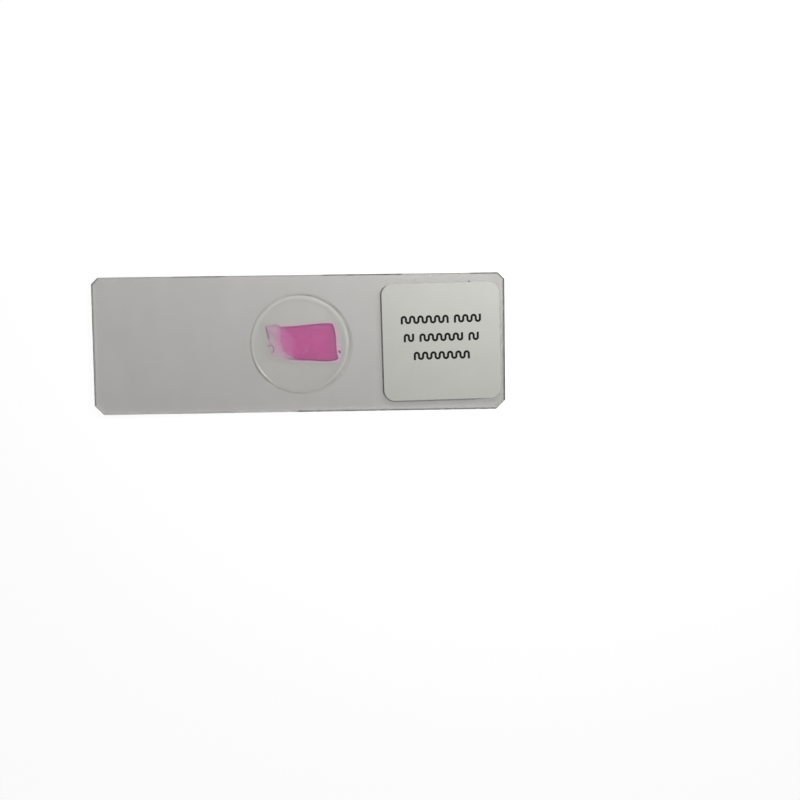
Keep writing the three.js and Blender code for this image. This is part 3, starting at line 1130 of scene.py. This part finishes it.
def stainAt(spot, size, cut, folds, streaks):  # what the finish reads at one point
    x, y = spot.x / size.x, spot.y / size.y
    away = lineDistance(spot, cut)
    if not insideOutline(spot, cut):
        seen = fringeSeen(x, y, away)
        return {"pale": 1.0, "rim": 0.0, "left": 0.0, "halo": 1.0, "cover": coverEachFace(seen)}
    drift = tissue["drift"] * noise.noise(Vector((spot.x, spot.y, 0)) / tissue["driftLength"])
    dense = denseShare(x, y, drift)
    violet = violetShare(x, y, drift)
    rim = max(
        strongestLine(spot, folds),
        0.16 * nearness(spot, size, 0.838, 0.72, 0.6),   # a darker patch near the upper right
        0.23 * smoothStep(0.80, 0.92, x),                # the right end
        0.14 * smoothStep(0.24, 0.08, y) * dense,        # the lower edge
        0.12 * smoothStep(0.66, 0.86, y) * smoothStep(0.22, 0.32, x))   # the upper edge
    seen = tornSeen(spot, size, y, away) * (1 - dense)
    seen += dense * (tissue["denseCover"] + 0.05 * (1 - violet))
    seen = min(tissue["mostCover"], max(seen, rim * 0.8))
    edge = smoothStep(0.10 * mm, 0.0, away) * smoothStep(0.15, 0.25, x)
    return {
        "pale": min(1.0, 1 - dense + strongestLine(spot, streaks) * dense),
        "rim": min(1.0, rim * (dense + 1.25 * (1 - dense))),
        "left": violet,
        "halo": max(0.25 * edge, 0.15 * dense * (1 - dense)),
        "cover": coverEachFace(seen),
    }


def makeTissueSheet():
    low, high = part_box("tissue_section")
    size = high - low
    cut = fineOutline(size)
    points, triangles = tissuePoints(cut, size)
    folds = tissueLines("folds", size)
    streaks = tissueLines("streaks", size)
    stains = [stainAt(spot, size, cut + cut[:1], folds, streaks) for spot in points]
    bottom = low.z + tissue["lift"]
    top = bottom + tissue["thickness"]
    vertices = [(low.x + spot.x, low.y + spot.y, top + tissue["foldRise"] * found["rim"])
                for spot, found in zip(points, stains)]
    vertices += atHeight(low, points, bottom)
    piece = newPiece("tissue_sheet", vertices, sheetFaces(points, triangles), [stainedTissue])
    for name in ("pale", "rim", "left", "halo", "cover"):
        storeValues(piece.data, name, [found[name] for found in stains] * 2)
    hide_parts("tissue_section")


fleck = {
    "length": 0.62 * mm,
    "width": 0.34 * mm,
    "thickness": 0.016 * mm,
    "gap": 0.002 * mm,           # above the section
    "turn": math.radians(-50),
    "steps": 28,
    "raggedness": 0.22,
    "rim": 0.9,
    "cover": 0.75,
    # how wide it is at each share of its thickness
    "shape": [(0, 0.7), (0.35, 1.0), (0.7, 0.95), (1.0, 0.6)],
}


def makeTissueFleck():
    low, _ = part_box("tissue_fleck")
    middle = midOf("tissue_fleck")
    bottom = low.z + tissue["lift"] + tissue["thickness"] + fleck["gap"]
    turn = Matrix.Rotation(fleck["turn"], 2)
    rings = []
    for height, share in fleck["shape"]:
        spots = []
        for x, y in roundCircle(fleck["steps"]):
            ragged = 1 + fleck["raggedness"] * noise.noise(Vector((x, y, height)) * 1.7)
            spot = Vector((fleck["length"] / 2 * x, fleck["width"] / 2 * y))
            spots.append(turn @ spot * ragged * share)
        rings.append(atHeight(middle, spots, bottom + fleck["thickness"] * height))
    piece = stackRings("tissue_crumb", rings, [0, 0, 0], [stainedTissue])
    for name in ("rim", "cover"):
        storeValues(piece.data, name, [fleck[name]] * len(piece.data.vertices))
    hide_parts("tissue_fleck")


makeTissueSheet()
makeTissueFleck()
print("tissue laid")


label = {
    "length": 21.4 * mm,
    "width": 21.28 * mm,
    "cornerRadius": 2.0 * mm,
    "turn": math.radians(0.9),
    "arris": 0.025 * mm,
    "edgeStep": 0.4 * mm,
    "cornerSteps": 16,
    "gap": 0.002 * mm,
    # adhesive squeezed out on the two sides away from the lamp, coloured dark as the label's painted shadow
    "oozeWidth": 0.27 * mm,
    "oozeUnder": 0.06 * mm,      # how far it lies under the label
    "oozeGap": 0.0005 * mm,
    "oozeThickness": 0.02 * mm,
    "oozeCover": 0.66,
    "oozeEnd": 7.5 * mm,         # it stops short of the corner by the slide's end
    "oozeFade": 3 * mm,
}


def labelEdge():
    x, y = label["length"] / 2, label["width"] / 2
    corners = [Vector(place) for place in ((x, y), (-x, y), (-x, -y), (x, -y))]
    steps = sideSteps(corners, label["edgeStep"])
    outline = roundedOutline(corners, label["cornerRadius"], label["cornerSteps"], steps)
    return list(zip(outline, outwardNormals(outline)))


def labelRing(height, inset):  # inset is worked out for each spot on the edge
    low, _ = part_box("label")
    turn = Matrix.Rotation(label["turn"], 2)
    spots = [turn @ (spot - normal * inset(spot, normal)) for spot, normal in labelEdge()]
    return atHeight(midOf("label"), spots, low.z + height)


def makeLabel():
    low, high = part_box("label")
    thick = high.z - low.z
    arris = label["arris"]
    rings = [labelRing(height, lambda spot, normal, inset=inset: inset) for height, inset in (
        (label["gap"], 0), (thick - arris, 0), (thick - arris * 0.3, arris * 0.3), (thick, arris))]
    piece = stackRings("paper_label", rings, [0, 0, 0], [labelPaper])
    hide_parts("label")


def oozeReach(spot, normal):
    facing = smoothStep(0.25, 0.9, max(-normal.x, -normal.y * 0.95))
    end, fade = label["oozeEnd"], label["oozeFade"]
    return label["oozeWidth"] * facing * smoothStep(end + fade, end - fade, spot.x)


def makeOozeShadow():
    # a strip of adhesive round the label's left and lower sides, carrying its painted shadow
    gap, thick = label["oozeGap"], label["oozeThickness"]
    rings = [
        labelRing(gap, lambda spot, normal: label["oozeUnder"]),
        labelRing(gap, lambda spot, normal: -oozeReach(spot, normal)),
        labelRing(thick * 0.5, lambda spot, normal: -oozeReach(spot, normal) * 0.9),
        labelRing(thick, lambda spot, normal: label["oozeUnder"]),
    ]
    piece = loopRings("label_ooze_shadow", rings, labelAdhesiveShadow)
    # painted shadow, strongest on the left side and fainter on the lower one
    seen = []
    for spot, normal in labelEdge():
        share = min(1.0, oozeReach(spot, normal) / label["oozeWidth"] * 1.2)
        seen.append(label["oozeCover"] * share * (1 - 0.6 * abs(normal.y)))
    storeValues(piece.data, "cover", seen * len(rings))


makeLabel()
makeOozeShadow()
print("label stuck on")


printing = {
    "turns": [11, 6, 2, 10, 2, 13],   # half turns in each wavy stroke, one stroke for each mark
    "pitch": 0.76 * mm,
    "height": 1.52 * mm,
    "stroke": 0.40 * mm,
    "thickness": 0.009 * mm,
    "bendSteps": 7,
}


def makeStrokeTree():
    tree, wanted = startTree("printStrokeTree", {
        "Bend Radius": "Float", "Bend Steps": "Int", "Stroke": "Float", "Thickness": "Float"})
    lines = addStep(tree, "GeometryNodeMeshToCurve", {"Mesh": wanted["Geometry"]})
    bent = addStep(tree, "GeometryNodeFilletCurve", {
        "Curve": lines, "Count": wanted["Bend Steps"], "Radius": wanted["Bend Radius"],
        "Limit Radius": True}, mode="POLY")
    upright = addStep(tree, "GeometryNodeSetCurveNormal", {"Curve": bent}, mode="Z_UP")
    nib = addStep(tree, "GeometryNodeCurvePrimitiveQuadrilateral", {
        "Width": wanted["Stroke"], "Height": wanted["Thickness"]})
    endTree(tree, addStep(tree, "GeometryNodeCurveToMesh", {
        "Curve": upright, "Profile Curve": nib, "Fill Caps": True}), labelInk)
    return tree


def strokePath(turns):  # across at the top and across at the bottom, by turns
    pitch = printing["pitch"]
    rise = printing["height"] / 2
    bar = rise - printing["stroke"] / 2     # middle of the stroke where it turns over
    left = -turns * pitch / 2
    path = [Vector((left, -rise))]
    for step in range(turns):
        level = bar if step % 2 == 0 else -bar
        path += [Vector((left + step * pitch, level)), Vector((left + (step + 1) * pitch, level))]
    return path + [Vector((left + turns * pitch, rise if turns % 2 == 0 else -rise))]


def makePrint():
    nodes = ["print_mark_%d" % (index + 1) for index in range(len(printing["turns"]))]
    turn = Matrix.Rotation(label["turn"], 2)
    vertices = []
    edges = []
    for node, turns in zip(nodes, printing["turns"]):
        low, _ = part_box(node)
        path = [turn @ spot for spot in strokePath(turns)]
        edges += [(len(vertices) + step, len(vertices) + step + 1) for step in range(len(path) - 1)]
        vertices += atHeight(midOf(node), path, low.z + printing["thickness"] / 2)
    mesh = growMesh("print_strokes", makeStrokeTree(), {
        "Bend Radius": printing["pitch"] / 2, "Bend Steps": printing["bendSteps"],
        "Stroke": printing["stroke"], "Thickness": printing["thickness"],
    }, loosePoints("stroke_paths", vertices, edges))
    piece = placePiece("print_strokes", mesh)
    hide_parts(*nodes)


makePrint()
print("label printed")


dust = {
    # specks that show: place on the slide in mm, and size in mm
    "specks": [
        (31.02, 10.95, 0.40), (21.18, 11.30, 0.20), (-11.3, -10.8, 0.16), (-9.2, 5.6, 0.10),
        (9.6, -10.9, 0.13), (-17.7, 2.3, 0.07), (-28.3, -6.3, 0.08), (12.8, 4.8, 0.06)],
    "width": 0.65,               # in shares of a speck's length
    "flatness": 0.35,
    "dents": 0.7,
    "seed": 3,
}


def makeDustTree():
    tree, wanted = startTree("dustTree", {
        "Width": "Float", "Flatness": "Float", "Dents": "Float", "Seed": "Int"})
    crumb = addStep(tree, "GeometryNodeMeshIcoSphere", {"Radius": 0.5, "Subdivisions": 2})
    facet = addNode(tree, "ShaderNodeTexNoise", {"Scale": 2.2, "Detail": 1.0}).outputs["Color"]
    inOrOut = addStep(tree, "ShaderNodeVectorMath", {0: facet, 1: (0.5, 0.5, 0.5)}, operation="SUBTRACT")
    dented = addStep(tree, "ShaderNodeVectorMath", {0: inOrOut, "Scale": wanted["Dents"]}, operation="SCALE")
    rough = addStep(tree, "GeometryNodeSetPosition", {"Geometry": crumb, "Offset": dented})
    size = addStep(tree, "GeometryNodeInputNamedAttribute", {"Name": "speckSize"}, data_type="FLOAT")
    flat = addStep(tree, "ShaderNodeCombineXYZ", {
        0: size, 1: addProduct(tree, size, wanted["Width"]),
        2: addProduct(tree, size, wanted["Flatness"])})
    spin = addNode(tree, "FunctionNodeRandomValue", {"Seed": wanted["Seed"]}, data_type="FLOAT").outputs[1]
    turned = addStep(tree, "ShaderNodeCombineXYZ", {2: addProduct(tree, spin, 6.283)})
    endTree(tree, addStep(tree, "GeometryNodeInstanceOnPoints", {
        "Points": wanted["Geometry"], "Instance": rough, "Scale": flat, "Rotation": turned}), greyDust)
    return tree


def makeDustSpecks():
    _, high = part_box("slide_glass")
    places = loosePoints("dust_places", [
        (x * mm, y * mm, high.z + size * mm * dust["flatness"] * 0.4) for x, y, size in dust["specks"]])
    storeValues(places, "speckSize", [size * mm for *_, size in dust["specks"]])
    mesh = growMesh("dust_specks", makeDustTree(), {
        "Width": dust["width"], "Flatness": dust["flatness"], "Dents": dust["dents"], "Seed": dust["seed"],
    }, places)
    piece = placePiece("dust_specks", mesh)


makeDustSpecks()
print("dust settled")
